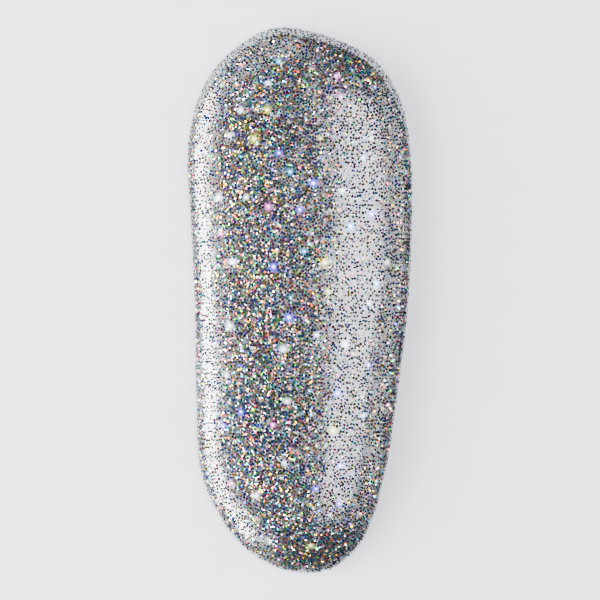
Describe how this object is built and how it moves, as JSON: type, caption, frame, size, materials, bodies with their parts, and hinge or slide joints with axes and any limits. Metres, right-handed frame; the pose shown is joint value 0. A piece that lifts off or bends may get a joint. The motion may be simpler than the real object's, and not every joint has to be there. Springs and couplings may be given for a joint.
{
  "type": "glitter gel polish stroke",
  "caption": "Thick, domed, glossy stroke of cured clear gel polish loaded with fine holographic silver glitter, flat underneath, built up in nested coats.",
  "frame": {"origin": "middle of the flat underside: the centre of the bounding box in x and y, at its bottom in z", "axes": "+Y along the stroke towards its broad end, +Z up out of the surface that it was painted on, +X to the right of the stroke seen from above with +Y up"},
  "size_m": [0.0104, 0.025, 0.0018],
  "materials": {
    "clear_gel": "clear cured gel, high gloss",
    "base_film": "thin clear cured film",
    "glitter_gel": "clear gel full of fine silver holographic glitter",
    "flake_white": "metallised film, white flash",
    "flake_violet": "metallised film, violet flash",
    "flake_cyan": "metallised film, cyan flash",
    "flake_gold": "metallised film, pale gold flash",
    "flake_rose": "metallised film, rose flash"
  },
  "bodies": {
    "root": {"base_coat": "base_film", "glitter_coat_1": "glitter_gel", "glitter_coat_2": "glitter_gel", "glitter_coat_3": "glitter_gel", "top_coat": "clear_gel", "holo_flake_01": "flake_violet", "holo_flake_02": "flake_cyan", "holo_flake_03": "flake_white", "holo_flake_04": "flake_gold", "holo_flake_05": "flake_violet", "holo_flake_06": "flake_white", "holo_flake_07": "flake_rose", "holo_flake_08": "flake_white", "holo_flake_09": "flake_violet", "holo_flake_10": "flake_cyan", "holo_flake_11": "flake_white", "holo_flake_12": "flake_gold", "holo_flake_13": "flake_violet", "holo_flake_14": "flake_white", "holo_flake_15": "flake_rose", "holo_flake_16": "flake_white", "holo_flake_17": "flake_violet", "holo_flake_18": "flake_cyan", "holo_flake_19": "flake_white", "holo_flake_20": "flake_gold", "holo_flake_21": "flake_violet", "holo_flake_22": "flake_white", "holo_flake_23": "flake_rose", "holo_flake_24": "flake_white", "holo_flake_25": "flake_violet", "holo_flake_26": "flake_cyan", "holo_flake_27": "flake_white", "holo_flake_28": "flake_gold", "holo_flake_29": "flake_violet", "holo_flake_30": "flake_white", "holo_flake_31": "flake_rose", "holo_flake_32": "flake_white", "holo_flake_33": "flake_violet", "holo_flake_34": "flake_cyan", "holo_flake_35": "flake_white", "holo_flake_36": "flake_gold", "holo_flake_37": "flake_violet", "holo_flake_38": "flake_white", "holo_flake_39": "flake_rose", "holo_flake_40": "flake_white", "holo_flake_41": "flake_violet", "holo_flake_42": "flake_cyan", "holo_flake_43": "flake_white", "holo_flake_44": "flake_gold", "holo_flake_45": "flake_violet", "holo_flake_46": "flake_white", "holo_flake_47": "flake_rose", "holo_flake_48": "flake_white", "holo_flake_49": "flake_violet", "holo_flake_50": "flake_cyan", "holo_flake_51": "flake_white", "holo_flake_52": "flake_gold"}
  },
  "joints": []
}
